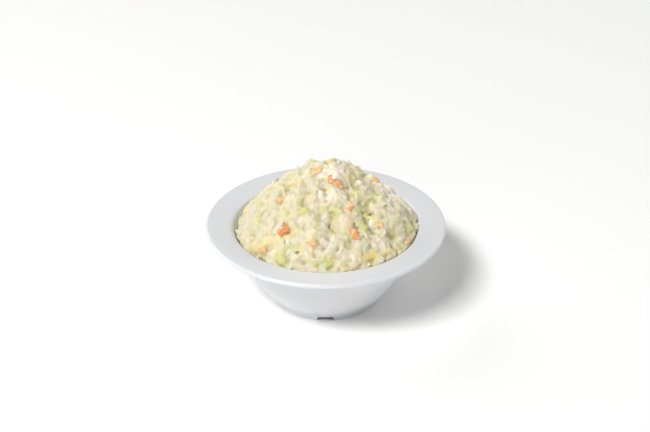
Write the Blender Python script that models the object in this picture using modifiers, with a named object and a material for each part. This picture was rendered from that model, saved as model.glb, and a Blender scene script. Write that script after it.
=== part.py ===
"""Coleslaw heaped in a small white melamine bowl with a wide flat rim.

Two solids: the bowl, turned in one piece with a notched foot ring, and the
slaw, one mass that fills the well and stands above it as an uneven heap.
Frame: metres, +Z up, origin on the surface that the bowl stands on, at the
middle of its foot ring. -Y is the front.
"""

import math

import bmesh
import bpy
from mathutils import Vector, noise

MM = 0.001
SEGMENTS = 72  # facets round the axis, the same for both solids

# Bowl
RIM_RADIUS = 70.0 * MM
BOWL_HEIGHT = 48.0 * MM
RIM_THICKNESS = 3.2 * MM
RIM_RISE = 1.0 * MM  # the rim's outer edge stands this much over its inner crest
CREST_RADIUS = 57.0 * MM  # where the flat of the rim's top begins
UNDER_RIM_RADIUS = 60.6 * MM  # where the flat of its underside begins
FLOOR_THICKNESS = 2.8 * MM
FOOT_RADIUS = 33.0 * MM
FOOT_HEIGHT = 3.4 * MM
FOOT_WIDTH = 4.2 * MM
FOOT_RECESS = 2.5 * MM
FOOT_BEVEL = 0.6 * MM
BODY_TOP_RADIUS = 56.0 * MM
BODY_TOP_Z = BOWL_HEIGHT - 6.0 * MM
BODY_FLARE = 0.725  # exponent of the outer wall's curve
BODY_END_Z = BODY_TOP_Z - 1.4 * MM  # where that curve gives way to the bend under the rim
WELL_FLOOR_Z = FOOT_RECESS + FLOOR_THICKNESS
WELL_FLOOR_RADIUS = 26.0 * MM
WELL_TOP_RADIUS = 54.0 * MM
WELL_TOP_Z = BOWL_HEIGHT - 2.0 * MM
WELL_FLARE = 0.5  # exponent of the inner wall's curve
FLOOR_RING = 0.6  # share of the floor's radius where its facets are split once
WELL_SPACING = 1.7  # over 1, the wall's points lie closer together near the floor
BODY_SPACING = 1.5  # and the body's near the foot
WELL_END_Z = BOWL_HEIGHT - 3.2 * MM  # where that curve gives way to the bend over the crest
CREST_BULGE = 0.4 * MM  # how far that bend's corner lies outside the well
UNDER_BULGE = 0.9 * MM  # the same for the bend under the rim, and the body

# Drain notches through the foot ring, wider at the table
NOTCH_HEIGHT = 2.3 * MM
NOTCH_TOP_WIDTH = 8.0 * MM
NOTCH_FOOT_WIDTH = 10.0 * MM

# Slaw
WALL_GAP = 0.35 * MM
EDGE_DEPTH = 3.6 * MM  # mean depth of the slaw's edge under the rim's top
LOW_SIDE_DROP = 2.0 * MM  # the edge is this much lower at -X and higher at +X
DIP_ANGLE = math.radians(195)  # where the edge dips most, a little to the front of -X
DIP_WIDTH = math.radians(38)
DIP_DEPTH = 2.4 * MM
HEAP_HEIGHT = 36.5 * MM  # above the slaw's edge
HEAP_POWER = 1.5  # 1 is a cone, 2 a dome
PEAK_OFFSET = (3.0 * MM, 6.0 * MM)
HEAP_RINGS = 24
WALL_RINGS = 8
CLUMP_SIZE = 17.0 * MM
CLUMP_RISE = 4.2 * MM
CRUMB_SIZE = 8.5 * MM
CRUMB_RISE = 1.9 * MM
CLUMP_WIDTH = 0.8  # of the spacing between clumps: where a clump's flank reaches its crease
CLUMP_LAYER = 0.37  # height of the slice through the clumps' pattern, in clump sizes
EDGE_BLEND = 3  # power of the share of the radius at which the edge's own height takes over
RELIEF_FADE = 10  # power at which the relief dies out towards the wall
RELIEF_FADE_DIP = 6  # the same where the edge dips
# Big forms of the heap: x, y and reach in mm, and how far they stand out or, below 0, cut in
SWELLS_MM = (
    (1, 9, 8, 2.4),  # the crown
    (-26, -14, 15, 2.6),  # lobe on the left
    (-39, 6, 11, 4.4),  # shoulder behind it
    (-23, 14, 8, 2.2),
    (34, -12, 13, 2.8),  # lobe on the right
    (47, 6, 9, 3.4),  # shoulder behind it
    (4, -13, 8, 1.8),  # lump in the middle of the front
    (25, -36, 8, 2.2),  # front right foot
    (-4, -42, 10, 1.8),  # front foot
    (-30, -38, 9, 1.4),  # front left foot
    (16, -6, 5, -2.6),  # groove down the right side from the top
    (23, -17, 5, -2.6),
    (28, -27, 6, -2.6),  # and the hollow that it ends in
    (4, -29, 6, -2.6),  # hollow in the middle of the front
    (12, -42, 4, -2.0),  # groove under it
    (-34, -26, 6, -1.8),  # step above the front left foot
    (-6, 36, 15, 1.8),  # lobe at the back
)


def outer_wall_radius(z):
    """Radius of the body's outside at height z: it flares fast above the foot, then steeper."""
    share = (z - FOOT_HEIGHT) / (BODY_TOP_Z - FOOT_HEIGHT)
    return FOOT_RADIUS + (BODY_TOP_RADIUS - FOOT_RADIUS) * share**BODY_FLARE


def well_radius(z):
    """Radius of the well at height z: it leaves the floor level and ends steep."""
    share = max(0.0, (z - WELL_FLOOR_Z) / (WELL_TOP_Z - WELL_FLOOR_Z))
    return WELL_FLOOR_RADIUS + (WELL_TOP_RADIUS - WELL_FLOOR_RADIUS) * share**WELL_FLARE


def rim_top_z(radius):
    """Height of the rim's flat top, which rises a little outwards."""
    share = (radius - CREST_RADIUS) / (RIM_RADIUS - CREST_RADIUS)
    return BOWL_HEIGHT - RIM_RISE * (1.0 - share)


def rounded(start, corner, end, steps):
    """Points of a smooth bend from start to end that is pulled towards corner, without the ends."""
    points = []
    for i in range(1, steps):
        t = i / steps
        a, b, c = (1 - t) ** 2, 2 * t * (1 - t), t**2
        points.append(tuple(a * p + b * q + c * r for p, q, r in zip(start, corner, end)))
    return points


def lip_arc(steps):
    """The rim's half-round outer edge, from its top to its underside."""
    half = RIM_THICKNESS / 2
    centre = (RIM_RADIUS - half, BOWL_HEIGHT - half)
    angles = [math.pi / 2 - math.pi * i / steps for i in range(steps + 1)]
    return [(centre[0] + half * math.cos(a), centre[1] + half * math.sin(a)) for a in angles]


def well_profile(top_z, steps):
    """(radius, height) points up the inner wall, closer together near the floor."""
    rise = top_z - WELL_FLOOR_Z
    heights = [WELL_FLOOR_Z + rise * (i / steps) ** WELL_SPACING for i in range(steps + 1)]
    return [(well_radius(z), z) for z in heights]


def body_profile(steps):
    """(radius, height) points down the outer wall, closer together near the foot."""
    drop = BODY_END_Z - FOOT_HEIGHT
    heights = [FOOT_HEIGHT + drop * (1 - i / steps) ** BODY_SPACING for i in range(steps + 1)]
    return [(outer_wall_radius(z), z) for z in heights]


def bowl_profile():
    """The bowl's half section: well floor, inner wall, rim, outer wall, foot ring and its recess."""
    crest = (CREST_RADIUS, rim_top_z(CREST_RADIUS))
    under = (UNDER_RIM_RADIUS, rim_top_z(UNDER_RIM_RADIUS) - RIM_THICKNESS)
    well = well_profile(WELL_END_Z, 8)
    body = body_profile(7)
    foot_inside = FOOT_RADIUS - FOOT_WIDTH
    return [
        (0.0, WELL_FLOOR_Z),
        (WELL_FLOOR_RADIUS * FLOOR_RING, WELL_FLOOR_Z),
        *well,
        *rounded(well[-1], (WELL_TOP_RADIUS + CREST_BULGE, crest[1]), crest, 4),
        crest,
        *lip_arc(6),
        under,
        *rounded(under, (BODY_TOP_RADIUS + UNDER_BULGE, under[1]), body[0], 3),
        *body,
        (FOOT_RADIUS, FOOT_BEVEL),
        (FOOT_RADIUS - FOOT_BEVEL, 0.0),
        (foot_inside + FOOT_BEVEL, 0.0),
        (foot_inside, FOOT_BEVEL),
        (foot_inside - FOOT_BEVEL, FOOT_RECESS),
        (0.0, FOOT_RECESS),
    ]


def turned(name, profile):
    """An object turned about Z from a (radius, height) profile with a Screw modifier."""
    mesh = bpy.data.meshes.new(name)
    edges = [(i, i + 1) for i in range(len(profile) - 1)]
    mesh.from_pydata([(radius, 0.0, z) for radius, z in profile], edges, [])
    obj = bpy.data.objects.new(name, mesh)
    screw = obj.modifiers.new("Turn", "SCREW")
    screw.steps = screw.render_steps = SEGMENTS
    screw.use_merge_vertices = True
    screw.merge_threshold = 0.00002
    screw.use_smooth_shade = True
    return obj


def material(name, colour, roughness):
    """A plain Principled finish."""
    made = bpy.data.materials.new(name)
    made.use_nodes = True
    shader = made.node_tree.nodes["Principled BSDF"]
    shader.inputs["Base Color"].default_value = (*colour, 1.0)
    shader.inputs["Roughness"].default_value = roughness
    shader.inputs["Metallic"].default_value = 0.0
    return made


def notch_cutter(name, turn, collection):
    """A long bar across the foot ring that cuts two opposite notches, with sloping sides."""
    below = 1.0 * MM
    slope = (NOTCH_FOOT_WIDTH - NOTCH_TOP_WIDTH) / NOTCH_HEIGHT
    bottom_width = NOTCH_FOOT_WIDTH + slope * below
    bpy.ops.mesh.primitive_cube_add(size=1.0)
    cutter = bpy.context.object
    cutter.name = name
    for vertex in cutter.data.vertices:
        top = vertex.co.z > 0
        width = NOTCH_TOP_WIDTH if top else bottom_width
        vertex.co.x *= width
        vertex.co.y *= 2 * (FOOT_RADIUS + 5.0 * MM)
        vertex.co.z = NOTCH_HEIGHT if top else -below
    cutter.rotation_euler.z = turn
    cutter.hide_render = True
    cutter.display_type = "WIRE"
    for owner in list(cutter.users_collection):
        owner.objects.unlink(cutter)
    collection.objects.link(cutter)
    return cutter


def make_bowl(cutters):
    """The melamine bowl, with four drain notches in its foot ring."""
    bowl = turned("bowl", bowl_profile())
    for index in range(2):
        cut = bowl.modifiers.new(f"Notches {index + 1}", "BOOLEAN")
        cut.operation = "DIFFERENCE"
        cut.solver = "EXACT"
        cut.object = notch_cutter(f"notch_bar_{index + 1}", index * math.pi / 2, cutters)
    bowl.data.materials.append(material("melamine", (0.80, 0.80, 0.81), 0.35))
    return bowl


def dip(angle):
    """How near an angle is to the middle of the edge's dip: 1 there, 0 away from it."""
    away = math.remainder(angle - DIP_ANGLE, 2 * math.pi) / DIP_WIDTH
    return math.exp(-away * away)


def edge_height(angle):
    """Height of the slaw's edge round the well: lower at -X, with a dip and a slight unevenness."""
    uneven = 0.6 * math.sin(3 * angle + 1.0) + 0.4 * math.sin(5 * angle + 2.0)
    slant = LOW_SIDE_DROP * math.cos(angle) - DIP_DEPTH * dip(angle)
    return BOWL_HEIGHT - EDGE_DEPTH + slant + uneven * MM


def clumps(x, y, size):
    """Rounded clumps with creases between them, from 0 in a crease to 1 on a clump's top."""
    nearest = noise.voronoi(Vector((x / size, y / size, CLUMP_LAYER)))[0][0]
    return max(0.0, 1.0 - (nearest / CLUMP_WIDTH) ** 2)


def swell(x, y):
    """How far the heap's big forms stand out at x, y."""
    total = 0.0
    for cx, cy, reach, rise in SWELLS_MM:
        away = math.hypot(x - cx * MM, y - cy * MM) / (reach * MM)
        total += rise * MM * math.exp(-away * away)
    return total


def heap_profile(edge_z):
    """The slaw's half section before it is made uneven: heap, edge, then down the well's wall."""
    edge_radius = well_radius(edge_z) - WALL_GAP
    heap = []
    for i in range(HEAP_RINGS):
        share = i / HEAP_RINGS
        heap.append((edge_radius * share, edge_z + HEAP_HEIGHT * (1 - share**HEAP_POWER)))
    wall = well_profile(edge_z, WALL_RINGS)[::-1]
    side = [(radius - WALL_GAP, z) for radius, z in wall[:-1]]
    floor_z = WELL_FLOOR_Z + WALL_GAP
    return heap + side + [(WELL_FLOOR_RADIUS * FLOOR_RING, floor_z), (0.0, floor_z)]


def raise_heap(point, edge_z):
    """Moves one point of the turned heap to its place on the uneven one."""
    radius = math.hypot(point.x, point.y)
    angle = math.atan2(point.y, point.x)
    share = min(1.0, radius / (well_radius(edge_z) - WALL_GAP))
    slope = HEAP_HEIGHT * HEAP_POWER * share ** (HEAP_POWER - 1) / WELL_TOP_RADIUS
    out = Vector((slope * math.cos(angle), slope * math.sin(angle), 1.0)).normalized()
    x = point.x + PEAK_OFFSET[0] * (1 - share)
    y = point.y + PEAK_OFFSET[1] * (1 - share)
    relief = swell(x, y)
    relief += CLUMP_RISE * (clumps(x, y, CLUMP_SIZE) - 0.5)
    relief += CRUMB_RISE * (clumps(x, y, CRUMB_SIZE) - 0.5)
    fade = RELIEF_FADE + (RELIEF_FADE_DIP - RELIEF_FADE) * dip(angle)
    inside = 1 - share**fade
    z = point.z + (edge_height(angle) - edge_z) * share**EDGE_BLEND
    return Vector((x, y, z)) + out * relief * inside


def fit_to_wall(point, edge_z):
    """Moves one point of the slaw's side so that it follows the wall up to the uneven edge."""
    angle = math.atan2(point.y, point.x)
    share = (point.z - WELL_FLOOR_Z) / (edge_z - WELL_FLOOR_Z)
    z = WELL_FLOOR_Z + share * (edge_height(angle) - WELL_FLOOR_Z)
    radius = well_radius(z) - WALL_GAP
    return Vector((radius * math.cos(angle), radius * math.sin(angle), z))


def make_slaw():
    """The slaw as one mass: a turned heap whose points are then moved to an uneven shape."""
    edge_z = BOWL_HEIGHT - EDGE_DEPTH
    rough = turned("turned_slaw", heap_profile(edge_z))
    bpy.context.scene.collection.objects.link(rough)
    graph = bpy.context.evaluated_depsgraph_get()
    mesh = bpy.data.meshes.new_from_object(rough.evaluated_get(graph))
    bpy.data.objects.remove(rough)
    floor_z = WELL_FLOOR_Z + 2 * WALL_GAP
    for vertex in mesh.vertices:
        if vertex.co.z > edge_z + 0.01 * MM:
            vertex.co = raise_heap(vertex.co.copy(), edge_z)
        elif vertex.co.z > floor_z:
            vertex.co = fit_to_wall(vertex.co.copy(), edge_z)
    shape = bmesh.new()
    shape.from_mesh(mesh)
    bmesh.ops.remove_doubles(shape, verts=shape.verts, dist=0.00002)
    shape.to_mesh(mesh)
    shape.free()
    mesh.name = "coleslaw"
    slaw = bpy.data.objects.new("coleslaw", mesh)
    slaw.data.materials.append(material("slaw", (0.78, 0.72, 0.48), 0.5))
    return slaw


def main():
    for obj in list(bpy.data.objects):
        bpy.data.objects.remove(obj)
    part = bpy.data.collections.new("coleslaw in a bowl")
    cutters = bpy.data.collections.new("cutters")
    for collection in (part, cutters):
        bpy.context.scene.collection.children.link(collection)
    part.objects.link(make_bowl(cutters))
    part.objects.link(make_slaw())


main()
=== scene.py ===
"""A white melamine bowl heaped with creamy chopped coleslaw: finish and fine shapes over the solids."""

import math

import bpy
import numpy as np
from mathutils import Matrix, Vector


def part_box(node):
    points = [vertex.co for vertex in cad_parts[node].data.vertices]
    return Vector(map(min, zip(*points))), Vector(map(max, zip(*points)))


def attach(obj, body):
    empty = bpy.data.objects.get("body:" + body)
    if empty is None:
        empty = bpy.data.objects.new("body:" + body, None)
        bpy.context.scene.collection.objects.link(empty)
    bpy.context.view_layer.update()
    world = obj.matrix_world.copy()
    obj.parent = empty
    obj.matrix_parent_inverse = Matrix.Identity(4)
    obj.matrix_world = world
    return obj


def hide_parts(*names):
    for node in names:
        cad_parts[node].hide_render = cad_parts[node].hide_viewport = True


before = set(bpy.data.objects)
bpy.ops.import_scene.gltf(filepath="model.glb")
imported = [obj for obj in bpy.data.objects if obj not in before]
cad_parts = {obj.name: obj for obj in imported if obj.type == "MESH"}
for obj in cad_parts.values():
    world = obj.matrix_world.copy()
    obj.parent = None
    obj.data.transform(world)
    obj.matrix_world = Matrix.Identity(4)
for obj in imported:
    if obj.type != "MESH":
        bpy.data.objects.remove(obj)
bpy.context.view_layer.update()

# Camera: a short telephoto from a little above the table, square to the front.
MM = 0.001
CAMERA_RISE = math.radians(29.5)
CAMERA_DISTANCE = 0.70
AIM = Vector((-0.4, 0.0, 51.0)) * MM

scene = bpy.context.scene
camera = bpy.data.objects.new("camera", bpy.data.cameras.new("camera"))
camera.data.lens = 66.5
camera.data.sensor_width = 36.0
camera.data.clip_start = 0.02
camera.location = AIM + CAMERA_DISTANCE * Vector((0.0, -math.cos(CAMERA_RISE), math.sin(CAMERA_RISE)))
camera.rotation_euler = (math.pi / 2 - CAMERA_RISE, 0.0, 0.0)
scene.collection.objects.link(camera)
scene.camera = camera
scene.view_settings.view_transform = "Standard"


# Light: a studio of soft boxes: a wide strong one high at the front left, and weak low fills at the
# sides and the back. Each row: name, degrees to the right of the camera, degrees of elevation, width
# and height in metres, watts.
SOFT_BOXES = (
    ("key", -39, 49.5, 1.1, 0.6, 85.0),
    ("fill_front", -14, 12, 2.2, 2.2, 16.0),
    ("fill_right", 90, 10, 2.2, 2.2, 24.0),
    ("fill_back_right", 135, 14, 2.2, 2.2, 15.0),
    ("fill_back_high", 140, 50, 2.2, 2.2, 14.0),
    ("fill_back_left", -135, 32, 2.2, 2.2, 28.0),
)
BOX_DISTANCE = 3.0
for name, side_turn, rise, width, tall, watts in SOFT_BOXES:
    turn, rise = math.radians(side_turn), math.radians(rise)
    towards = Vector((math.sin(turn) * math.cos(rise), -math.cos(turn) * math.cos(rise), math.sin(rise)))
    lamp = bpy.data.lights.new(name, "AREA")
    lamp.shape = "RECTANGLE"
    lamp.size = width
    lamp.size_y = tall
    lamp.energy = watts
    holder = bpy.data.objects.new(name, lamp)
    holder.location = AIM + BOX_DISTANCE * towards
    holder.rotation_euler = towards.to_track_quat("Z", "Y").to_euler()
    scene.collection.objects.link(holder)
world = bpy.data.worlds.new("pale_room")
world.use_nodes = True
world.node_tree.nodes["Background"].inputs["Color"].default_value = (1.0, 1.0, 1.0, 1.0)
world.node_tree.nodes["Background"].inputs["Strength"].default_value = 0.03
scene.world = world


# Shader expressions: a socket that adds Math nodes as it is calculated with.
class Wire:
    """One output socket of a material's tree. + - * / and ** with numbers or other wires add Math nodes."""

    def __init__(self, tree, socket):
        self.tree = tree
        self.socket = socket

    def math(self, operation, *others):
        return add(self.tree, "ShaderNodeMath", {"operation": operation}, [self, *others])

    def __add__(self, other):
        return self.math("ADD", other)

    def __sub__(self, other):
        return self.math("SUBTRACT", other)

    def __mul__(self, other):
        return self.math("MULTIPLY", other)

    def __truediv__(self, other):
        return self.math("DIVIDE", other)

    def __pow__(self, other):
        return self.math("POWER", other)

    def __rsub__(self, other):
        return add(self.tree, "ShaderNodeMath", {"operation": "SUBTRACT"}, [other, self])

    __radd__ = __add__
    __rmul__ = __mul__

    def clamped(self):
        made = add(self.tree, "ShaderNodeMath", {"operation": "ADD", "use_clamp": True}, [self, 0.0])
        return made

    def between(self, low, high):
        """0 where this is at low or under, 1 at high or over, straight in between."""
        return ((self - low) / (high - low)).clamped()


def add(tree, kind, settings=None, values=(), output=0):
    """Adds any node: first its settings, then its sockets' values or wires, by order or by name."""
    node = tree.nodes.new(kind)
    for key, value in (settings or {}).items():
        setattr(node, key, value)
    pairs = values.items() if isinstance(values, dict) else enumerate(values)
    for key, value in pairs:
        if isinstance(value, Wire):
            tree.links.new(value.socket, node.inputs[key])
        elif isinstance(value, (tuple, list)) and len(value) == 3 and node.inputs[key].type == "RGBA":
            node.inputs[key].default_value = (*value, 1.0)
        else:
            node.inputs[key].default_value = value
    return Wire(tree, node.outputs[output])


def noise(tree, scale, detail=2.0, roughness=0.5):
    """Smooth noise from 0 to 1 through the object's own space, with scale features to the metre."""
    place = add(tree, "ShaderNodeTexCoord", output="Object")
    return add(tree, "ShaderNodeTexNoise", values={"Vector": place, "Scale": scale, "Detail": detail,
                                                   "Roughness": roughness})


def blend(tree, share, first, second):
    """A colour that goes from first to second as share goes from 0 to 1."""
    return add(tree, "ShaderNodeMix", {"data_type": "RGBA"}, {0: share, 6: first, 7: second}, output=2)


def finish_with(name, constants):
    """A material with a Principled shader, and the constants set on its own sockets."""
    made = bpy.data.materials.new(name)
    made.use_nodes = True
    shader = made.node_tree.nodes["Principled BSDF"]
    for key, value in constants.items():
        shader.inputs[key].default_value = value
    return made, made.node_tree, shader


# Table: a plain white sweep.
FLOOR_HALF = 3.0


def floor_material():
    made, tree, shader = finish_with("white_sweep", {"Roughness": 0.9, "Specular IOR Level": 0.1})
    tint = blend(tree, noise(tree, 6.0), (0.945, 0.942, 0.932), (0.960, 0.957, 0.947))
    tree.links.new(tint.socket, shader.inputs["Base Color"])
    return made


corners = [(-FLOOR_HALF, -FLOOR_HALF, 0), (FLOOR_HALF, -FLOOR_HALF, 0),
           (FLOOR_HALF, FLOOR_HALF, 0), (-FLOOR_HALF, FLOOR_HALF, 0)]
floor_mesh = bpy.data.meshes.new("floor")
floor_mesh.from_pydata(corners, [], [(0, 1, 2, 3)])
floor_mesh.materials.append(floor_material())
floor = bpy.data.objects.new("floor", floor_mesh)
scene.collection.objects.link(floor)


# Bowl: moulded white melamine, turned about Z in one piece, with a half-round lip and a foot
# ring that four drain notches are cut through. Its rim radius and height come from the solid that it stands
# for.
low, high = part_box("bowl")
RIM_RADIUS = high.x
BOWL_HEIGHT = high.z
RIM_THICKNESS = 3.2 * MM
RIM_RISE = 1.0 * MM
CREST_RADIUS = 57.0 * MM
UNDER_RIM_RADIUS = 60.6 * MM
FOOT_RADIUS = 33.0 * MM
FOOT_HEIGHT = 3.4 * MM
FOOT_WIDTH = 4.2 * MM
FOOT_BEVEL = 0.6 * MM
FOOT_RECESS = 2.5 * MM
FOOT_BEND_Z = 7.4 * MM
BODY_TOP_RADIUS = 56.0 * MM
BODY_TOP_Z = BOWL_HEIGHT - 6.0 * MM
BODY_END_Z = BODY_TOP_Z - 1.4 * MM
WELL_FLOOR_Z = 5.3 * MM
WELL_FLOOR_RADIUS = 26.0 * MM
WELL_TOP_RADIUS = 54.0 * MM
WELL_TOP_Z = BOWL_HEIGHT - 2.0 * MM
WELL_END_Z = BOWL_HEIGHT - 3.2 * MM
NOTCH_HEIGHT = 2.3 * MM
NOTCH_HALF_TOP = 4.0 * MM
NOTCH_HALF_FOOT = 5.0 * MM
NOTCHES = 4


def well_radius(z):
    """Radius of the well at height z: the square root of the share of its depth, from floor to top."""
    share = np.clip((z - WELL_FLOOR_Z) / (WELL_TOP_Z - WELL_FLOOR_Z), 0, None)
    return WELL_FLOOR_RADIUS + (WELL_TOP_RADIUS - WELL_FLOOR_RADIUS) * share**0.5


def body_radius(z):
    """Radius of the outer wall at height z: it flares fast above the foot, then steeper."""
    share = np.clip((z - FOOT_HEIGHT) / (BODY_TOP_Z - FOOT_HEIGHT), 0, None)
    return FOOT_RADIUS + (BODY_TOP_RADIUS - FOOT_RADIUS) * share**0.725


def rim_top(radius):
    """Height of the rim's flat top: straight, rising a little outwards."""
    share = (radius - CREST_RADIUS) / (RIM_RADIUS - CREST_RADIUS)
    return BOWL_HEIGHT - RIM_RISE * (1 - share)


def bend(start, corner, end, count):
    """A parabola from start to end that is pulled towards corner, without its ends."""
    t = np.linspace(0, 1, count + 2)[1:-1, None]
    return (1 - t) ** 2 * np.array(start) + 2 * t * (1 - t) * np.array(corner) + t**2 * np.array(end)


def bowl_profile():
    """(radius, height) rows from the well's middle over the rim and down to the middle of the underside."""
    z = WELL_FLOOR_Z + (WELL_END_Z - WELL_FLOOR_Z) * np.linspace(0, 1, 28) ** 1.9
    well = np.column_stack([well_radius(z), z])
    floor = np.column_stack([np.linspace(0, WELL_FLOOR_RADIUS, 8)[:-1], np.full(7, WELL_FLOOR_Z)])
    crest = np.array([CREST_RADIUS, rim_top(CREST_RADIUS)])
    half = RIM_THICKNESS / 2
    turn = np.linspace(math.pi / 2, -math.pi / 2, 15)
    lip = np.column_stack([RIM_RADIUS - half * (1 - np.cos(turn)), BOWL_HEIGHT - half * (1 - np.sin(turn))])
    under = np.array([UNDER_RIM_RADIUS, rim_top(UNDER_RIM_RADIUS) - RIM_THICKNESS])
    z = FOOT_BEND_Z + (BODY_END_Z - FOOT_BEND_Z) * np.linspace(1, 0, 24) ** 1.4
    body = np.column_stack([body_radius(z), z])
    inside = FOOT_RADIUS - FOOT_WIDTH
    foot = [
        (FOOT_RADIUS, FOOT_BEVEL + 1.2 * MM),
        (FOOT_RADIUS, FOOT_BEVEL),
        (FOOT_RADIUS - 0.3 * FOOT_BEVEL, 0.3 * FOOT_BEVEL),
        (FOOT_RADIUS - FOOT_BEVEL, 0),
        (inside + FOOT_BEVEL, 0),
        (inside + 0.3 * FOOT_BEVEL, 0.3 * FOOT_BEVEL),
        (inside, FOOT_BEVEL),
        (inside - FOOT_BEVEL, FOOT_RECESS),
        (inside * 0.5, FOOT_RECESS),
        (0, FOOT_RECESS),
    ]
    over_crest = bend(well[-1], (WELL_TOP_RADIUS + 0.4 * MM, crest[1]), crest, 8)
    under_bend = bend(under, (BODY_TOP_RADIUS + 0.9 * MM, under[1]), body[0], 6)
    over_foot = bend(body[-1], (FOOT_RADIUS + 0.2 * MM, FOOT_HEIGHT), foot[0], 6)
    return np.vstack([floor, well, over_crest, [crest], lip, [under], under_bend, body, over_foot, foot])


def notch_angles(radius):
    """Angles of one quarter's columns at each radius, from -45 to 45 degrees about a notch's middle.

    The columns at the notch's edges keep their distance from its middle line at every radius, and the
    others are spread evenly between them.
    """
    reach = np.maximum(radius, FOOT_RADIUS - FOOT_WIDTH - FOOT_BEVEL)
    top = np.arcsin(NOTCH_HALF_TOP / reach)
    foot = np.arcsin(NOTCH_HALF_FOOT / reach)
    quarter = np.full_like(radius, math.pi / 4)
    knots = [(-quarter, -foot, 15), (-foot, -top, 1), (-top, top, 8), (top, foot, 1), (foot, quarter, 15)]
    spans = [a[:, None] + (b - a)[:, None] * np.arange(n) / n for a, b, n in knots]
    return np.hstack(spans)


def turned_bowl(profile):
    """The profile carried round Z, with the foot's underside lifted to the notches' tops inside them."""
    radius, height = profile[:, 0], profile[:, 1]
    local = notch_angles(radius)
    across = np.abs(radius[:, None] * np.sin(local))
    lift = NOTCH_HEIGHT * np.clip((NOTCH_HALF_FOOT - across) / (NOTCH_HALF_FOOT - NOTCH_HALF_TOP), 0, 1)
    is_foot = (height < FOOT_RECESS)[:, None] & (radius > FOOT_RADIUS - FOOT_WIDTH - 0.1 * MM)[:, None]
    z = np.where(is_foot, np.maximum(height[:, None], lift), height[:, None])
    turns = np.hstack([local + k * math.pi / 2 for k in range(NOTCHES)])
    z = np.hstack([z] * NOTCHES)
    ring = np.dstack([radius[:, None] * np.cos(turns), radius[:, None] * np.sin(turns), z])
    return ring[1:-1], ring[0, 0], ring[-1, 0]


def closed_tube(name, rings, first_pole, last_pole):
    """A mesh from rings of points, rows one after another, columns all round, with a pole at each end."""
    rows, columns = rings.shape[:2]
    count = rows * columns
    points = np.vstack([rings.reshape(-1, 3), first_pole, last_pole])
    index = np.arange(count).reshape(rows, columns)
    beside = np.roll(index, -1, axis=1)
    quads = np.stack([index[:-1], index[1:], beside[1:], beside[:-1]], axis=-1).reshape(-1, 4)
    start = np.stack([np.full(columns, count), index[0], beside[0]], axis=-1)
    end = np.stack([np.full(columns, count + 1), beside[-1], index[-1]], axis=-1)
    mesh = bpy.data.meshes.new(name)
    mesh.from_pydata(points.tolist(), [], quads.tolist() + start.tolist() + end.tolist())
    mesh.shade_smooth()
    piece = bpy.data.objects.new(name, mesh)
    scene.collection.objects.link(piece)
    return piece


def melamine():
    """Satin white melamine, faintly clouded and scuffed, with painted shade under the foot and in the
    notches.
    """
    made, tree, shader = finish_with("melamine", {"Specular IOR Level": 0.5, "Coat Roughness": 0.12,
                                                  "Coat Weight": 0.15})
    tint = blend(tree, noise(tree, 25.0), (0.700, 0.705, 0.722), (0.730, 0.733, 0.748))
    place = add(tree, "ShaderNodeTexCoord", output="Object")
    x, y, z = (add(tree, "ShaderNodeSeparateXYZ", values=[place], output=k) for k in range(3))
    reach = (x * x + y * y) ** 0.5
    # Painted shade: the underside within the foot ring and the notches is darkened nearly to black.
    under = (1 - z.between(FOOT_RECESS, FOOT_RECESS + 0.5 * MM)) * (1 - reach.between(FOOT_RADIUS - 0.8 * MM,
                                                                                    FOOT_RADIUS - 0.3 * MM))
    tint = blend(tree, under * 0.85, tint, (0.10, 0.10, 0.11))
    tree.links.new(tint.socket, shader.inputs["Base Color"])
    scuff = noise(tree, 900.0, 4.0, 0.6)
    tree.links.new((0.30 + 0.16 * scuff).socket, shader.inputs["Roughness"])
    wave = noise(tree, 60.0, 1.0)
    bump = add(tree, "ShaderNodeBump", values={"Strength": 0.05, "Distance": 0.001, "Height": wave})
    tree.links.new(bump.socket, shader.inputs["Normal"])
    return made


bowl = closed_tube("melamine_bowl", *turned_bowl(bowl_profile()))
bowl.data.set_sharp_from_angle(angle=math.radians(35))
bowl.data.materials.append(melamine())
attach(bowl, "root")
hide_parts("bowl")


# Bed of the slaw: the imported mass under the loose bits, a little smaller than the whole heap.
# Its height field also tells every bit on it where the heap's surface is and which way it faces.
HEAP_STEP = 0.8 * MM
BED_DEPTH = 1.8 * MM
HEAP_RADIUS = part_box("coleslaw")[1].x
POSTS_HALF = int(math.ceil(56 * MM / HEAP_STEP))
posts_line = np.arange(-POSTS_HALF, POSTS_HALF + 1) * HEAP_STEP


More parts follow.
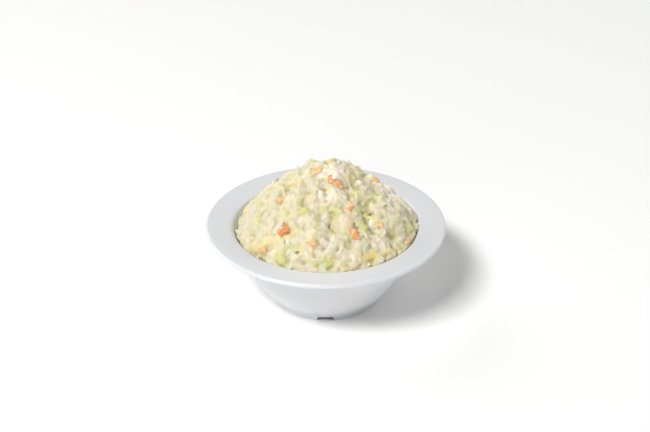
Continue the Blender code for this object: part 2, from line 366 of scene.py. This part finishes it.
def heap_posts(target, smoothing):
    """Heights of the top of a heap on a square grid of posts, smoothed over its facets.

    Each post drops a plumb line on the heap. Posts beyond its edge take the nearest height inwards.
    """
    line = posts_line
    x, y = np.meshgrid(line, line)
    posts = bpy.data.meshes.new("posts")
    posts.from_pydata(np.column_stack([x.ravel(), y.ravel(), np.full(x.size, 0.3)]).tolist(), [], [])
    probe = bpy.data.objects.new("posts", posts)
    scene.collection.objects.link(probe)
    drop = probe.modifiers.new("drop", "SHRINKWRAP")
    drop.target = target
    drop.wrap_method = "PROJECT"
    drop.use_project_z = True
    drop.use_positive_direction = False
    drop.use_negative_direction = True
    landed = bpy.data.meshes.new_from_object(probe.evaluated_get(bpy.context.evaluated_depsgraph_get()))
    points = np.empty(x.size * 3, np.float32)
    landed.vertices.foreach_get("co", points)
    bpy.data.objects.remove(probe)
    z = points.reshape(-1, 3)[:, 2].reshape(x.shape).astype(float)
    radius = np.hypot(x, y)
    missed = (z > 0.2) | (radius > HEAP_RADIUS - 0.8 * MM)
    filled = np.where(missed, 0.0, z)
    weight = np.where(missed, 0.0, 1.0)
    for _ in range(60):
        total = sum(np.roll(filled * weight, s, a) for a in (0, 1) for s in (-1, 1))
        count = sum(np.roll(weight, s, a) for a in (0, 1) for s in (-1, 1))
        grow = missed & (weight == 0) & (count > 0)
        filled[grow] = (total / np.maximum(count, 1))[grow]
        weight[grow] = 1.0
    for _ in range(smoothing):
        filled = sum(np.roll(filled, s, a) for a in (0, 1) for s in (-1, 0, 1)) / 6
    return filled


# Holes between clumps: place in mm to the right and to the back, reach and depth.
HOLES_MM = (
    (27.0, -27.0, 2.2, 4.5),
    (37.4, -25.7, 2.2, 4.0),
    (36.7, -31.8, 2.0, 3.6),
    (20.5, -15.0, 2.8, 2.4),
    (16.5, -5.5, 3.0, 2.0),
    (2.4, -30.0, 2.6, 2.4),
    (-1.5, -24.0, 2.2, 1.6),
    (13.0, -40.0, 1.8, 1.8),
    (45.0, -16.0, 2.2, 2.2),
    (43.0, 3.0, 2.4, 2.0),
    (-9.5, 3.5, 2.2, 1.6),
    (-20.0, 24.0, 3.0, 2.4),
    (14.0, 32.0, 2.8, 2.4),
)
heap_height = heap_posts(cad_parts["coleslaw"], 4)
post_x, post_y = np.meshgrid(posts_line, posts_line)
TUFT_RISE = 0.8 * MM  # clumps a few millimetres across that the bits lie in
TUFT_ROUNDS = 9
tufts = np.random.default_rng(5).standard_normal(post_x.shape)
for _ in range(TUFT_ROUNDS):
    tufts = sum(np.roll(tufts, s, a) for a in (0, 1) for s in (-1, 0, 1)) / 6
tufts *= np.clip((HEAP_RADIUS - np.hypot(post_x, post_y)) / (4 * MM), 0, 1)
heap_height = heap_height + TUFT_RISE * tufts / tufts.std()
for hole_x, hole_y, reach, depth in HOLES_MM:
    away = np.hypot(post_x - hole_x * MM, post_y - hole_y * MM) / (reach * MM)
    heap_height = heap_height - depth * MM * np.exp(-away**2)
slope_y, slope_x = np.gradient(heap_height, HEAP_STEP)


def over_posts(field, x, y):
    """A field's values over the points x, y: straight between the four nearest posts."""
    u = np.clip((x - posts_line[0]) / HEAP_STEP, 0, len(posts_line) - 1.001)
    v = np.clip((y - posts_line[0]) / HEAP_STEP, 0, len(posts_line) - 1.001)
    i, j = u.astype(int), v.astype(int)
    p, q = u - i, v - j
    low_row = field[j, i] * (1 - p) + field[j, i + 1] * p
    high_row = field[j + 1, i] * (1 - p) + field[j + 1, i + 1] * p
    return low_row * (1 - q) + high_row * q


def up_from_heap(x, y):
    """The unit normal of the heap over the points x, y, from its slopes."""
    normal = np.stack([-over_posts(slope_x, x, y), -over_posts(slope_y, x, y), np.ones_like(x)], -1)
    return normal / np.linalg.norm(normal, axis=-1, keepdims=True)


BED_RINGS = 90
BED_COLUMNS = 300
BED_BOTTOM = 39 * MM
BED_GAP = 0.5 * MM


def bed_rings():
    """The heap's surface sunk by a depth, then down the well's wall to a level bottom."""
    share = np.linspace(0, 1, BED_RINGS + 1)[1:, None]
    turn = np.linspace(0, 2 * math.pi, BED_COLUMNS, endpoint=False)[None, :]
    reach = HEAP_RADIUS - 0.6 * MM
    x, y = reach * share * np.cos(turn), reach * share * np.sin(turn)
    top = np.stack([x, y, over_posts(heap_height, x, y)], -1) - BED_DEPTH * up_from_heap(x, y)
    drop = np.linspace(0, 1, 8)[1:, None]
    z = top[-1:, :, 2] * (1 - drop) + BED_BOTTOM * drop
    radius = well_radius(z) - BED_GAP
    wall = np.stack([radius * np.cos(turn), radius * np.sin(turn), z], -1)
    peak = np.array([0, 0, over_posts(heap_height, np.zeros(1), np.zeros(1))[0] - BED_DEPTH])
    return np.concatenate([top, wall])[::-1], np.array([0, 0, BED_BOTTOM]), peak


# White rib: cuts of the thick midribs, crisp and palest of all, a few of them large and near the top.
# Like every kind of bit they are flat and uneven, and lie on the heap however they fell.
def spread(rng, count):
    """Random places on the heap, as dense on its steep flanks as on its top."""
    many = count * 6
    radius = (HEAP_RADIUS - 1.0 * MM) * np.sqrt(rng.random(many))
    turn = 2 * math.pi * rng.random(many)
    x, y = radius * np.cos(turn), radius * np.sin(turn)
    steep = np.minimum(1 / up_from_heap(x, y)[:, 2], 2.5)
    chosen = rng.choice(many, count, replace=False, p=steep / steep.sum())
    return x[chosen], y[chosen]


def settled(points):
    """Bit points kept out of the bowl: pressed in from its wall, and lifted onto its rim."""
    radius = np.hypot(points[..., 0], points[..., 1])
    z = points[..., 2]
    inner = np.minimum(radius, np.where(z < WELL_TOP_Z, well_radius(z) - 0.3 * MM, radius))
    squeeze = inner / np.maximum(radius, 1e-9)
    floor = np.interp(inner, [WELL_TOP_RADIUS - 1 * MM, CREST_RADIUS, RIM_RADIUS],
                      [WELL_TOP_Z - 1 * MM, rim_top(CREST_RADIUS), BOWL_HEIGHT]) + 0.25 * MM
    z = np.where(inner > WELL_TOP_RADIUS - 1 * MM, np.maximum(z, floor), z)
    return np.stack([points[..., 0] * squeeze, points[..., 1] * squeeze, z], -1)


def chips(rng, x, y, sizes, lift, tilt, stations, columns, spin=None, drape=0.7, ragged=1.0, boxy=1.0):
    """Small irregular plates lying on the heap, each a rounded oblong section carried along its length.

    sizes holds each plate's length, width and thickness. The section shrinks at both ends, its width
    wanders along the way, and the plate bows sideways, curls upwards and cups across by random amounts.
    lift is the height of each plate's middle over the heap, tilt how far plates lean in degrees, and spin
    their turns. drape, ragged and boxy go from 0 to 1: how closely a plate follows the heap under it, how
    uneven its outline is, and how blunt its edges are. Returns points as (plates, stations, columns, 3)
    and the two end points of each plate.
    """
    count = len(x)
    length, width, thick = (sizes[:, k, None, None] for k in range(3))
    along = np.linspace(-1, 1, stations)
    along = np.sign(along) * np.abs(along) ** 0.7
    ends = np.where(np.abs(along) > 0.99, 0.5 + 0.12 * boxy, 1.0)
    angle = 2 * math.pi * (np.arange(columns) + 0.5) / columns
    ring_b = np.sign(np.cos(angle)) * np.abs(np.cos(angle)) ** (0.95 - 0.4 * boxy)
    ring_c = np.sign(np.sin(angle)) * np.abs(np.sin(angle)) ** (1.5 - 0.7 * boxy)

    def vary(spread_by, *shape):
        """Normal random numbers of that spread, a set for each plate."""
        return spread_by * rng.standard_normal((count, *shape))

    s = along[None, :, None]
    wander = 1 + vary(0.16 * ragged, stations, 1) + vary(0.22, 1, 1) * s
    b = 0.5 * width * wander * ends[None, :, None] * ring_b[None, None, :]
    c = 0.5 * thick * np.where(ends < 1, 0.7, 1.0)[None, :, None] * ring_c[None, None, :]
    b = b * (1 + vary(0.07 * ragged, stations, columns))
    c = c * (1 + vary(0.12 * ragged, stations, columns))
    a = 0.5 * length * s + vary(0.35, 1, 1) * b
    bow, arch, cup = vary(0.10, 1, 1), vary(0.10, 1, 1), vary(0.5, 1, 1)
    b2 = b + bow * length * (s**2 - 0.4)
    c2 = c + arch * length * (s**2 - 0.4) + cup * b**2 / width
    a2 = np.broadcast_to(a, b2.shape)
    local = np.stack([a2, b2, c2], -1)
    tips = np.stack([local[:, 0].mean(1), local[:, -1].mean(1)], 1)
    normal = up_from_heap(x, y)
    spun = 2 * math.pi * rng.random(count) if spin is None else spin
    level = np.stack([np.cos(spun), np.sin(spun), np.zeros(count)], -1)
    first = level - normal * (level * normal).sum(-1, keepdims=True)
    first /= np.linalg.norm(first, axis=-1, keepdims=True)
    second = np.cross(normal, first)
    for axis_pair in (0, 1):
        lean = np.radians(tilt) * rng.standard_normal(count)[:, None]
        if axis_pair == 0:
            first, normal = (np.cos(lean) * first + np.sin(lean) * normal,
                             np.cos(lean) * normal - np.sin(lean) * first)
        else:
            second, normal = (np.cos(lean) * second + np.sin(lean) * normal,
                              np.cos(lean) * normal - np.sin(lean) * second)
    turned = np.stack([first, second, normal], 1)
    up = up_from_heap(x, y)
    centre_z = over_posts(heap_height, x, y)

    def place(points):
        """Turns the points, moves them to the plate's place and lets them follow the heap under them."""
        shape = (count, *[1] * (points.ndim - 2))
        moved = np.einsum("n...k,nkj->n...j", points, turned) + (lift[:, None] * up).reshape(*shape, 3)
        px, py = moved[..., 0] + x.reshape(shape), moved[..., 1] + y.reshape(shape)
        slope_x0, slope_y0 = -up[:, 0] / up[:, 2], -up[:, 1] / up[:, 2]
        plane = moved[..., 0] * slope_x0.reshape(shape) + moved[..., 1] * slope_y0.reshape(shape)
        sag = over_posts(heap_height, px, py) - centre_z.reshape(shape) - plane
        pz = moved[..., 2] + centre_z.reshape(shape) + drape * np.clip(sag, -3 * MM, 3 * MM)
        return settled(np.stack([px, py, pz], -1))

    return place(local), place(tips)


def many_tubes(name, rings, tips, shade):
    """One mesh of many closed tubes, with a colour attribute that holds each tube's own shade."""
    count, rows, columns = rings.shape[:3]
    own = rows * columns + 2
    points = np.concatenate([rings.reshape(count, -1, 3), tips], 1).reshape(-1, 3)
    index = np.arange(rows * columns).reshape(rows, columns)
    beside = np.roll(index, -1, axis=1)
    quads = np.stack([index[:-1], beside[:-1], beside[1:], index[1:]], -1).reshape(-1, 4)
    start = np.stack([np.full(columns, own - 2), beside[0], index[0]], -1)
    end = np.stack([np.full(columns, own - 1), index[-1], beside[-1]], -1)
    offsets = own * np.arange(count)[:, None, None]
    quads = (quads[None] + offsets).reshape(-1, 4)
    fans = (np.concatenate([start, end])[None] + offsets).reshape(-1, 3)
    mesh = bpy.data.meshes.new(name)
    mesh.from_pydata(points.tolist(), [], quads.tolist() + fans.tolist())
    mesh.shade_smooth()
    tint = mesh.attributes.new("shade", "FLOAT_COLOR", "POINT")
    colours = np.ones((count, own, 4), np.float32)
    colours[..., :3] = shade[:, None, :]
    tint.data.foreach_set("color", colours.ravel())
    piece = bpy.data.objects.new(name, mesh)
    scene.collection.objects.link(piece)
    return piece


def oblongs(rng, count, length, width, thick):
    """Random sizes: length, width and thickness each between their two limits, small ones more common."""
    share = rng.random((count, 3)) ** np.array([1.4, 1.2, 1.0])
    limits = np.array([length, width, thick])
    return limits[:, 0] + (limits[:, 1] - limits[:, 0]) * share


def placed_and_random(rng, table, count, length, width, thick, behind=None):
    """Places, sizes and turns of the bits in a table, and after them of random ones.

    Each row of a table: place in mm to the right and to the back, length, width, and turn in degrees.
    """
    rows = np.array(table, float)
    x, y = spread(rng, count * 3)
    keep = np.flatnonzero(y > behind)[:count] if behind is not None else np.arange(count)
    x = np.concatenate([rows[:, 0] * MM, x[keep]])
    y = np.concatenate([rows[:, 1] * MM, y[keep]])
    sizes = oblongs(rng, len(keep), length, width, thick)
    own = np.column_stack([rows[:, 2] * MM, rows[:, 3] * MM, np.full(len(rows), sum(thick) / 2)])
    spin = np.concatenate([np.radians(rows[:, 4]), 2 * math.pi * rng.random(len(keep))])
    return x, y, np.vstack([own, sizes]), spin


def lifts(rng, placed, height, count, limits):
    """Heights over the heap: one for the placed bits, then random ones that are sunk in more or less."""
    return np.concatenate([np.full(placed, height), rng.uniform(*limits, count)])


def between_tints(rng, count, first, second):
    """Colours at random shares of the way from the first to the second."""
    return np.array(first) + (np.array(second) - np.array(first)) * rng.random((count, 1))


RIB_MM = (
    (-0.3, -28.0, 9.0, 3.0, 88),
    (25.8, -24.0, 8.5, 2.8, 108),
    (4.0, -4.0, 9.0, 5.0, -30),
    (30.0, -35.0, 8.0, 4.0, 20),
    (3.0, -16.0, 8.0, 4.0, 60),
)
RIB_RANDOM = 120
rng = np.random.default_rng(23)
x, y, sizes, spin = placed_and_random(rng, RIB_MM, RIB_RANDOM, (4.0 * MM, 9.0 * MM),
                                      (2.2 * MM, 4.4 * MM), (1.4 * MM, 2.0 * MM))
lift = lifts(rng, len(RIB_MM), -0.1 * MM, len(x) - len(RIB_MM), (-1.0 * MM, -0.3 * MM))
rib_bits = many_tubes("rib_bits", *chips(rng, x, y, sizes, lift, 12, 7, 8, spin=spin, ragged=0.7),
                      between_tints(rng, len(x), (0.82, 0.77, 0.65), (0.75, 0.72, 0.56)))

# Pale yellow inner leaf: thin pieces from the heart of the head, two of them broad and folded down
# along the front edge, the rest small and scattered through the heap.
YELLOW_MM = (
    (-19.3, -1.6, 9.5, 4.2, -42),
    (-32.0, -32.5, 13.0, 4.6, 8),
    (-22.5, -34.0, 7.0, 3.6, -12),
    (22.0, -44.5, 14.0, 3.4, 34),
    (33.0, -37.0, 8.0, 3.0, 45),
)
YELLOW_RANDOM = 60
rng = np.random.default_rng(31)
x, y, sizes, spin = placed_and_random(rng, YELLOW_MM, YELLOW_RANDOM, (3.0 * MM, 8.0 * MM),
                                      (2.0 * MM, 4.2 * MM), (1.2 * MM, 1.6 * MM))
lift = lifts(rng, len(YELLOW_MM), 0.0, len(x) - len(YELLOW_MM), (-0.9 * MM, -0.2 * MM))
yellow_bits = many_tubes("yellow_bits", *chips(rng, x, y, sizes, lift, 8, 8, 8, spin=spin, ragged=0.7),
                         between_tints(rng, len(x), (0.80, 0.64, 0.24), (0.78, 0.69, 0.38)))

# Green outer leaf: the thinnest and brightest pieces, from the outside of the head, scattered singly.
GREEN_MM = (
    (22.0, -27.3, 6.5, 4.2, 60),
    (-15.8, -40.4, 9.5, 3.4, 0),
    (0.2, -49.2, 6.5, 4.2, -40),
    (-24.7, -44.0, 5.5, 4.6, 30),
    (17.2, -11.5, 4.0, 3.4, 80),
    (23.4, -16.6, 10.0, 3.6, 97),
    (6.4, -23.8, 5.5, 4.5, 10),
    (-33.0, -1.0, 6.0, 4.5, 20),
    (-12.0, -23.0, 6.0, 3.2, -30),
)
GREEN_RANDOM = 70
rng = np.random.default_rng(47)
x, y, sizes, spin = placed_and_random(rng, GREEN_MM, GREEN_RANDOM, (2.5 * MM, 6.0 * MM),
                                      (1.6 * MM, 3.4 * MM), (1.0 * MM, 1.4 * MM))
lift = lifts(rng, len(GREEN_MM), 0.1 * MM, len(x) - len(GREEN_MM), (-0.8 * MM, 0.0 * MM))
green_bits = many_tubes("green_bits", *chips(rng, x, y, sizes, lift, 8, 8, 8, spin=spin, ragged=0.7),
                        between_tints(rng, len(x), (0.50, 0.58, 0.14), (0.69, 0.68, 0.32)))

# Carrot: short thick cuts, orange to yellowish, half bedded in the slaw. Each row ends with how pale
# the cut is, from 0 to 1. A sunk copy of every cut goes into the coat, so that dressing rises round it.
CARROT_MM = (
    (-4.4, 0.3, 6.0, 5.0, 10, 1.0),
    (5.9, -9.1, 10.5, 4.2, -32, 0.3),
    (-25.4, -11.6, 8.0, 4.4, 32, 0.5),
    (-23.8, -30.1, 7.4, 5.6, 48, 0.0),
    (13.6, -22.5, 4.6, 3.8, 70, 0.7),
    (16.3, -36.3, 8.2, 4.6, 95, 0.2),
    (-7.0, -41.8, 4.8, 4.4, 30, 0.7),
    (46.3, -23.0, 5.0, 3.6, 60, 0.8),
    (30.6, -24.3, 5.0, 2.6, 10, 0.9),
    (29.4, 9.1, 4.6, 3.0, 0, 0.9),
    (-35.0, -34.4, 5.0, 3.6, -20, 1.0),
)
CARROT_RANDOM = 15
CARROT_BARE = 0.7 * MM  # how far the cuts come up through the dressing
rng = np.random.default_rng(61)
x, y, sizes, spin = placed_and_random(rng, CARROT_MM, CARROT_RANDOM, (3.5 * MM, 8.5 * MM),
                                      (2.6 * MM, 4.6 * MM), (1.4 * MM, 2.2 * MM), behind=20 * MM)
lift = lifts(rng, len(CARROT_MM), 0.3 * MM, len(x) - len(CARROT_MM), (-0.7 * MM, -0.1 * MM))
carrot_bits = chips(rng, x, y, sizes, lift, 5, 10, 12, spin=spin, drape=0.9, ragged=0.4, boxy=0.6)
ripeness = rng.random((len(x), 1))
ripeness[:len(CARROT_MM), 0] = [row[5] for row in CARROT_MM]
sunk = [points - np.array([0, 0, CARROT_BARE]) for points in carrot_bits]
dressed_carrot = many_tubes("dressed_carrot", *sunk, np.tile((0.80, 0.66, 0.46), (len(x), 1)))

# Dressed slaw: thousands of plain cabbage bits and all the kinds above, stuck together by a creamy
# dressing that rounds their edges and fills the gaps between them, all in one skin with the bed.
def joined(name, pieces):
    """One object from several, which are used up."""
    context = {"active_object": pieces[0], "selected_editable_objects": pieces, "selected_objects": pieces}
    with bpy.context.temp_override(**context):
        bpy.ops.object.join()
    pieces[0].name = name
    return pieces[0]


def as_mesh(piece):
    """The piece's mesh with its modifiers worked in, which are then taken off."""
    mesh = bpy.data.meshes.new_from_object(piece.evaluated_get(bpy.context.evaluated_depsgraph_get()))
    piece.modifiers.clear()
    old = piece.data
    piece.data = mesh
    bpy.data.meshes.remove(old)
    return mesh


COAT_BITS = 4400
COAT_VOXEL = 0.62 * MM
rng = np.random.default_rng(11)
x, y = spread(rng, COAT_BITS)
sizes = oblongs(rng, COAT_BITS, (3.5 * MM, 9.0 * MM), (1.6 * MM, 3.6 * MM), (1.2 * MM, 2.0 * MM))
lift = rng.uniform(-2.2, -0.6, COAT_BITS) * MM
for place_x, place_y, length, width, *_ in RIB_MM + YELLOW_MM + GREEN_MM + CARROT_MM:
    near = np.hypot(x - place_x * MM, y - place_y * MM) < (0.25 * (length + width) + 1.0) * MM
    lift[near] = np.minimum(lift[near], -1.9 * MM)
rings, tips = chips(rng, x, y, sizes, lift, 17, 5, 8)
# Tints of the plain bits, each with the share of bits that have it.
TINTS = (
    ("cream", 0.34, (0.71, 0.63, 0.47)),
    ("pale", 0.26, (0.75, 0.69, 0.56)),
    ("lime", 0.16, (0.67, 0.64, 0.38)),
    ("mint", 0.11, (0.66, 0.65, 0.50)),
    ("butter", 0.09, (0.73, 0.62, 0.36)),
    ("olive", 0.04, (0.55, 0.52, 0.26)),
)
kinds = rng.choice(len(TINTS), COAT_BITS, p=[share for _, share, _ in TINTS])
shade = np.array([tint for _, _, tint in TINTS])[kinds] * rng.uniform(0.95, 1.05, (COAT_BITS, 1))
plain_bits = many_tubes("plain_bits", rings, tips, shade)
loose = joined("loose_bits", [plain_bits, rib_bits, yellow_bits, green_bits, dressed_carrot])
bed = closed_tube("bed", *bed_rings())
coat = bpy.data.objects.new("dressed_slaw", loose.data.copy())
scene.collection.objects.link(coat)
joined("dressed_slaw", [coat, bed])
skin = coat.modifiers.new("coat", "REMESH")
skin.mode = "VOXEL"
skin.voxel_size = COAT_VOXEL
skin.use_smooth_shade = True
soften = coat.modifiers.new("soften", "SMOOTH")
soften.factor = 0.5
soften.iterations = 5
as_mesh(coat).attributes.new("shade", "FLOAT_COLOR", "POINT")
pick = coat.modifiers.new("shades", "DATA_TRANSFER")
pick.object = loose
pick.use_vert_data = True
pick.data_types_verts = {"COLOR_VERTEX"}
pick.vert_mapping = "NEAREST"
mesh = as_mesh(coat)
bpy.data.objects.remove(loose)


def evened(mesh, values, rounds):
    """Values at the mesh's points, each drawn halfway to the mean of its neighbours, that many times."""
    count = len(mesh.vertices)
    ends = np.empty(len(mesh.edges) * 2, np.int32)
    mesh.edges.foreach_get("vertices", ends)
    a, b = ends[::2], ends[1::2]
    near = np.maximum(np.bincount(a, minlength=count) + np.bincount(b, minlength=count), 1)
    for _ in range(rounds):
        total = np.stack([np.bincount(a, values[b, k], count) + np.bincount(b, values[a, k], count)
                          for k in range(values.shape[1])], -1)
        values = 0.5 * values + 0.5 * total / near[:, None]
    return values


def hollows(mesh, rounds):
    """How deep each point lies below the average of its surroundings, in metres, as an attribute."""
    points = np.empty(len(mesh.vertices) * 3, np.float32)
    mesh.vertices.foreach_get("co", points)
    points = points.reshape(-1, 3).astype(float)
    normals = np.empty(len(mesh.vertices) * 3, np.float32)
    mesh.vertices.foreach_get("normal", normals)
    depth = ((evened(mesh, points, rounds) - points) * normals.reshape(-1, 3)).sum(-1)
    mesh.attributes.new("hollow", "FLOAT", "POINT").data.foreach_set("value", depth.astype(np.float32))


YELLOW = (0.80, 0.62, 0.20)
GREEN = (0.52, 0.58, 0.14)
OLIVE = (0.56, 0.51, 0.20)
# Painted light: a pale pink that brightens the right back of the heap, which faces away from the key.
PAINTED_LIGHT_PINK = (0.97, 0.89, 0.79)
# Painted shade: a duller tint that darkens the left flank, where the key light falls most.
PAINTED_SHADE_DULL = (0.64, 0.59, 0.42)
WHITE = (0.88, 0.83, 0.72)
SHADED = (0.30, 0.25, 0.10)
# Larger leaves that show through the dressing, and painted shade in the deepest holes and on the left flank
# and painted light on the right back. Each row: place in mm to the right and to the back, half length,
# half width, turn in degrees, how much it shows, and colour.
SHOWING_MM = (
    (-19.3, -1.6, 7.5, 3.4, -42, 0.45, YELLOW),
    (-32.3, -32.1, 12.0, 4.0, 4, 0.45, YELLOW),
    (-24.0, -33.0, 8.0, 3.0, 0, 0.45, YELLOW),
    (23.0, -44.0, 8.0, 2.2, 34, 0.45, YELLOW),
    (34.0, -36.5, 5.0, 2.0, 48, 0.45, YELLOW),
    (22.0, -27.3, 3.4, 3.6, 60, 0.35, GREEN),
    (-15.8, -40.4, 4.5, 1.8, 0, 0.35, GREEN),
    (0.2, -49.6, 4.0, 2.6, -35, 0.35, GREEN),
    (-24.7, -44.5, 3.4, 2.8, 30, 0.35, GREEN),
    (17.2, -11.5, 2.6, 3.2, 80, 0.35, GREEN),
    (23.4, -16.6, 6.0, 2.4, 100, 0.85, OLIVE),
    (6.4, -23.8, 3.4, 2.6, 20, 0.35, GREEN),
    (-4.0, -28.0, 6.0, 1.8, 85, 0.7, OLIVE),
    (3.5, -29.0, 5.0, 1.6, 85, 0.6, OLIVE),
    (-33.0, -1.0, 3.4, 2.6, 20, 0.35, GREEN),
    (-12.0, -23.0, 4.0, 2.4, -30, 0.35, GREEN),
    (15.0, -3.0, 8.0, 2.2, 100, 0.7, OLIVE),
    (13.0, -38.0, 7.0, 1.4, 105, 0.6, OLIVE),
    # Painted shade: a dark tint in the three deepest holes.
    (27.0, -27.0, 1.8, 1.6, 0, 0.85, SHADED),
    (37.4, -25.7, 2.2, 1.4, 0, 0.8, SHADED),
    (36.7, -31.6, 1.6, 1.4, 0, 0.8, SHADED),
    # Painted light on the right back of the heap.
    (34.0, 12.0, 13.0, 9.0, -30, 0.8, PAINTED_LIGHT_PINK),
    # Painted shade over the brightly lit left flank.
    (-33.0, -8.0, 16.0, 20.0, 0, 0.4, PAINTED_SHADE_DULL),
    (3.0, -2.0, 8.0, 6.0, -30, 0.6, WHITE),
    (-0.3, -28.5, 6.0, 1.6, 85, 0.8, WHITE),
    (25.6, -24.0, 5.0, 1.6, 105, 0.8, WHITE),
    (29.0, -34.0, 6.0, 4.0, 0, 0.6, WHITE),
)


def soften_tints(mesh, rounds):
    """Lets the bits' tints run into each other under the dressing; adds leaves that show through, painted
    shade and light.
    """
    tints = np.empty(len(mesh.vertices) * 4, np.float32)
    mesh.attributes["shade"].data.foreach_get("color", tints)
    soft = evened(mesh, tints.reshape(-1, 4).astype(float), rounds)
    points = np.empty(len(mesh.vertices) * 3, np.float32)
    mesh.vertices.foreach_get("co", points)
    points = points.reshape(-1, 3)
    for place_x, place_y, half_long, half_wide, turn, share, colour in SHOWING_MM:
        turn = math.radians(turn)
        x, y = points[:, 0] - place_x * MM, points[:, 1] - place_y * MM
        u = (x * math.cos(turn) + y * math.sin(turn)) / (half_long * MM)
        v = (y * math.cos(turn) - x * math.sin(turn)) / (half_wide * MM)
        weight = share * np.exp(-((u**2 + v**2) ** 1.5))[:, None]
        soft[:, :3] = soft[:, :3] * (1 - weight) + np.array(colour) * weight
    mesh.attributes["shade"].data.foreach_set("color", soft.astype(np.float32).ravel())


hollows(mesh, 30)
soften_tints(mesh, 3)


def dressed_cabbage():
    """Cabbage under thin creamy dressing: each bit its own pale tint, with painted shade darkening and
    yellowing the hollows.
    """
    made, tree, shader = finish_with("dressed_cabbage", {
        "Subsurface Weight": 0.8, "Subsurface Scale": 0.003, "Specular IOR Level": 0.25})
    shader.inputs["Subsurface Radius"].default_value = (1.0, 0.8, 0.5)
    tint = add(tree, "ShaderNodeAttribute", {"attribute_name": "shade"})
    hollow = add(tree, "ShaderNodeAttribute", {"attribute_name": "hollow"}, output=2)
    film = noise(tree, 90.0, 3.0, 0.5).between(0.42, 0.62)
    tint = blend(tree, film * 0.35, tint, (0.78, 0.71, 0.58))
    leafy = noise(tree, 115.0, 2.0, 0.4).between(0.48, 0.66)
    tint = blend(tree, leafy * 0.45, tint, (0.70, 0.66, 0.33))
    # Painted shade: the deepest hollows are darkened towards olive brown.
    deep = (hollow * 1000.0).between(0.15, 1.0)
    tint = blend(tree, deep * 0.75, tint, (0.42, 0.36, 0.15))
    tree.links.new(tint.socket, shader.inputs["Base Color"])
    tree.links.new((0.42 + 0.20 * noise(tree, 500.0)).socket, shader.inputs["Roughness"])
    grain = noise(tree, 1500.0, 3.0)
    bump = add(tree, "ShaderNodeBump", values={"Strength": 0.25, "Distance": 0.0002, "Height": grain})
    tree.links.new(bump.socket, shader.inputs["Normal"])
    return made


mesh.materials.clear()
mesh.materials.append(dressed_cabbage())
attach(coat, "root")
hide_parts("coleslaw")


# Dark green leaf: narrow edges of the outermost leaves, which stick out low along the front of the rim
# and here and there at the back.
def moist(name, colours, film, roughness=(0.36, 0.2), through=0.7):
    """Cut vegetable under a broken film of dressing: its own colour between two, then cream in patches."""
    made, tree, shader = finish_with(name, {
        "Subsurface Weight": through, "Subsurface Scale": 0.003, "Specular IOR Level": 0.3})
    shader.inputs["Subsurface Radius"].default_value = (1.0, 0.8, 0.5)
    shade = add(tree, "ShaderNodeAttribute", {"attribute_name": "shade"})
    own = add(tree, "ShaderNodeSeparateColor", values=[shade])
    flesh = blend(tree, (0.6 * own + 0.4 * noise(tree, 320.0)).between(0.15, 0.85), *colours)
    patch = noise(tree, 420.0, 3.0, 0.55).between(0.62 - film * 0.5, 0.78 - film * 0.4)
    tree.links.new(blend(tree, patch * 0.85, flesh, (0.80, 0.74, 0.58)).socket, shader.inputs["Base Color"])
    low, vary = roughness
    tree.links.new((low + vary * noise(tree, 700.0)).socket, shader.inputs["Roughness"])
    bump = add(tree, "ShaderNodeBump", values={"Strength": 0.3, "Distance": 0.0002,
                                               "Height": noise(tree, 1200.0, 3.0)})
    tree.links.new(bump.socket, shader.inputs["Normal"])
    return made


def lay(name, rings, tips, shade, finish):
    """Puts one kind of bits on the heap as one piece."""
    piece = many_tubes(name, rings, tips, shade)
    piece.data.materials.append(finish)
    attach(piece, "root")
    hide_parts("coleslaw")
    return piece


DARK_MM = (
    (-46.5, -25.0, 8.0, 3.0, -62),
    (-42.5, -31.0, 6.0, 2.5, -50),
    (-35.5, -38.5, 6.5, 4.0, -40),
)
DARK_RANDOM = 16
rng = np.random.default_rng(53)
x, y, sizes, spin = placed_and_random(rng, DARK_MM, DARK_RANDOM, (2.0 * MM, 4.5 * MM),
                                      (1.2 * MM, 2.6 * MM), (0.4 * MM, 0.7 * MM), behind=20 * MM)
rings, tips = chips(rng, x, y, sizes, rng.uniform(0.4, 0.9, len(x)) * MM, 10, 6, 8, spin=spin)
lay("dark_leaf", rings, tips, rng.random((len(x), 3)),
    moist("dark_leaf", ((0.10, 0.15, 0.03), (0.20, 0.25, 0.05)), 0.12))

# Bare carrot: the cuts themselves, where they come up through the skin of dressing.
lay("carrot", *carrot_bits, np.repeat(ripeness, 3, axis=1),
    moist("carrot", ((0.77, 0.27, 0.08), (0.83, 0.52, 0.25)), 0.22, roughness=(0.42, 0.2)))
